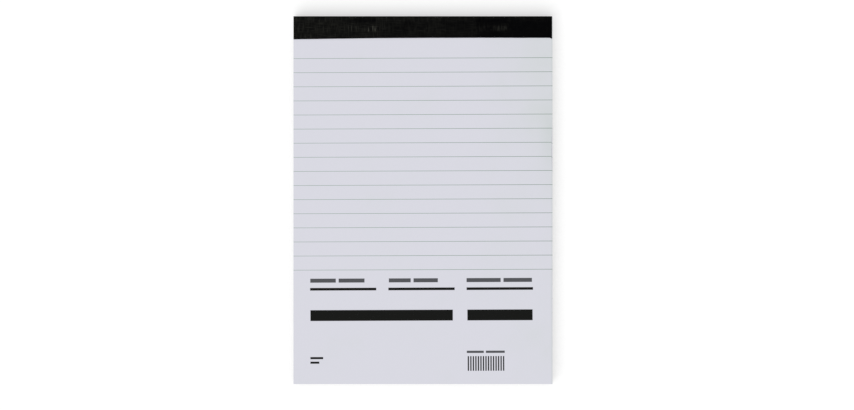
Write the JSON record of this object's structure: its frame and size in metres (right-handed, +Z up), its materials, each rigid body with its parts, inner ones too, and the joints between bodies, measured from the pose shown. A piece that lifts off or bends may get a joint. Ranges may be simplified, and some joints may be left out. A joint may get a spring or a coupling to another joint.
{
  "type": "writing pad",
  "caption": "Head-bound A5 writing pad: ruled sheets on a greyboard back under a white cover sheet, stapled, with a cloth tape folded over the head. The cover opens at its crease.",
  "frame": {"origin": "middle of the underside, which lies on the surface the pad rests on", "axes": "+X across the pad to the right as it is read, +Y towards the bound head, +Z up out of the cover"},
  "size_m": [0.148, 0.2102, 0.0106],
  "materials": {
    "greyboard": "uncoated grey chipboard",
    "ruled_paper": "uncoated writing paper, ruled in grey-green",
    "cover_paper": "uncoated bright white cover sheet, printed in black, grey and grey-green",
    "binding_cloth": "black linen-grain book cloth",
    "staple_wire": "bright galvanised wire"
  },
  "bodies": {
    "pad": {"back_board": "greyboard", "page_block": "ruled_paper", "cover_bound_strip": "cover_paper", "binding_tape": "binding_cloth", "staple_left": "staple_wire", "staple_right": "staple_wire"},
    "cover": {"front_cover": "cover_paper"}
  },
  "joints": [
    {"name": "cover_hinge", "type": "hinge", "parent": "pad", "child": "cover", "pos_m": [0, 0.09177, 0.01055], "axis": [-1, 0, 0], "range_deg": [0, 178]}
  ]
}
